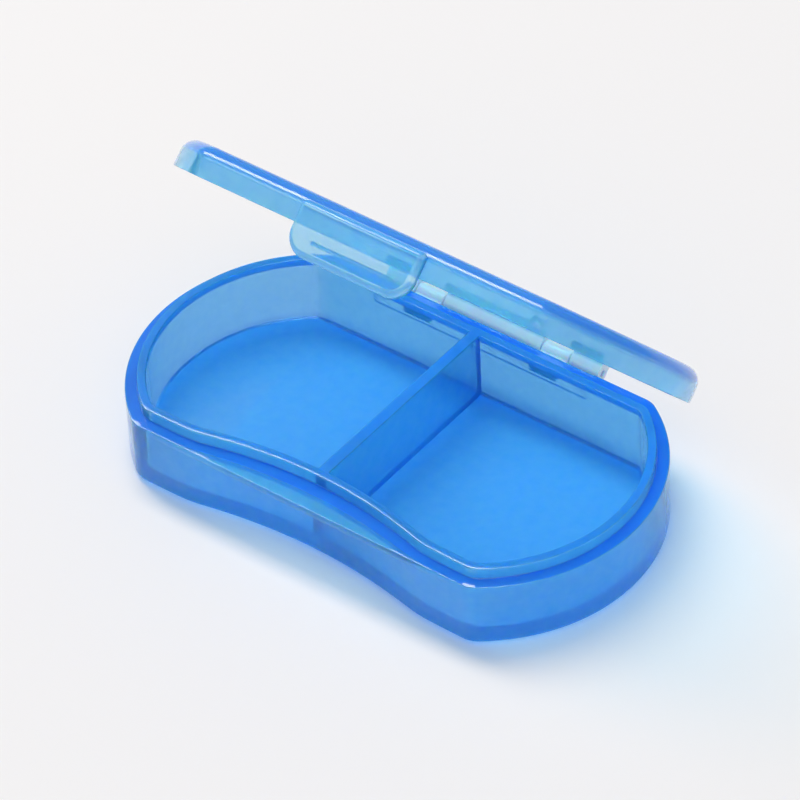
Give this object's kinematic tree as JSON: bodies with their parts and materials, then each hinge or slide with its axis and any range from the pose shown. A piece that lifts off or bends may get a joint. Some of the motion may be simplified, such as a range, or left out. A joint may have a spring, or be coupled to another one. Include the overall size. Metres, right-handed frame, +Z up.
{
  "type": "pill box",
  "caption": "Flat pocket pill box with rounded ends and a waisted front, split into two compartments, with a hinged lid that latches by a front tab.",
  "frame": {"origin": "centre of the footprint rectangle of the tray, on the table plane", "axes": "+X along the box, -Y towards the latch side, +Y towards the hinge, +Z up"},
  "size_m": [0.066, 0.0395, 0.0392],
  "materials": {
    "tray_plastic": "clear blue, glossy",
    "lid_plastic": "clear blue, glossy",
    "pin_steel": "drawn wire"
  },
  "bodies": {
    "base": {"tray": "tray_plastic", "hinge_pin": "pin_steel"},
    "cover": {"lid": "lid_plastic"}
  },
  "joints": [
    {"name": "lid_hinge", "type": "hinge", "parent": "base", "child": "cover", "pos_m": [-0.0006, 0.0196, 0.00765], "axis": [-1, 0, 0], "range_deg": [-47.5, 122.5]}
  ]
}
